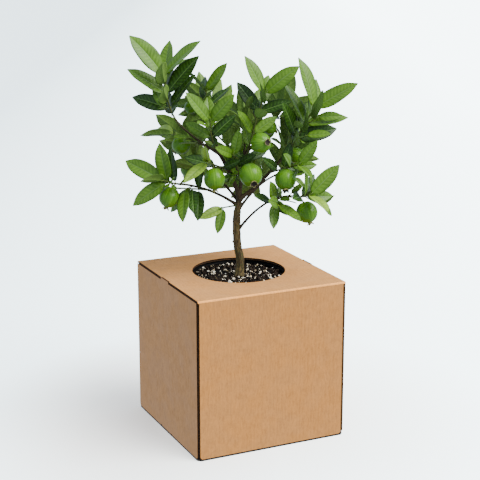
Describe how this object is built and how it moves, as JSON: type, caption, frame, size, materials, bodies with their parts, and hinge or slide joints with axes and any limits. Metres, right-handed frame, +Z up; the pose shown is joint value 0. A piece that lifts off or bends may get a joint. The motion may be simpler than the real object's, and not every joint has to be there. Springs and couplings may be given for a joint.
{
  "type": "potted cas guava tree",
  "caption": "Young fruiting guava tree with an upright open crown, in a black nursery pot set into a cardboard cube box with a round hole in its lid.",
  "frame": {"origin": "centre of the box's flat underside, on the surface that it stands on", "axes": "+Z up along the trunk, -Y towards the front face of the box that the picture shows, +X to that face's right"},
  "size_m": [0.3296, 0.3054, 0.6127],
  "materials": {
    "kraft_board": "matte",
    "pot_plastic": "satin",
    "potting_mix": "matte",
    "bark": "matte",
    "foliage": "satin",
    "fruit_skin": "satin"
  },
  "bodies": {
    "root": {"box_lid": "kraft_board", "box_floor": "kraft_board", "box_front": "kraft_board", "box_back": "kraft_board", "box_side_left": "kraft_board", "box_side_right": "kraft_board", "nursery_pot": "pot_plastic", "potting_mix": "potting_mix", "trunk": "bark", "leader_left": "bark", "leader_right": "bark", "leader_mid": "bark", "leader_back": "bark", "bough_left": "bark", "bough_right": "bark", "bough_back_left": "bark", "bough_back_right": "bark", "branch_top_left": "bark", "branch_upper_left": "bark", "branch_mid_right": "bark", "branch_back_left": "bark", "branch_back_right": "bark", "leaves_top_left": "foliage", "leaves_upper_left": "foliage", "leaves_centre_front": "foliage", "leaves_upper_right": "foliage", "leaves_centre": "foliage", "leaves_right_top": "foliage", "leaves_left_mid": "foliage", "leaves_left_low": "foliage", "leaves_left_inner": "foliage", "leaves_trunk_side": "foliage", "leaves_right_low": "foliage", "leaves_right_under": "foliage", "leaves_right_mid": "foliage", "leaves_front_left": "foliage", "leaves_middle_front": "foliage", "leaves_middle_back": "foliage", "leaves_back_left": "foliage", "leaves_back_right": "foliage", "leaves_back_top_left": "foliage", "leaves_back_top_right": "foliage", "leaves_back_centre": "foliage", "leaves_back_low": "foliage", "leaves_side_left": "foliage", "leaves_side_right": "foliage"}
  },
  "joints": []
}
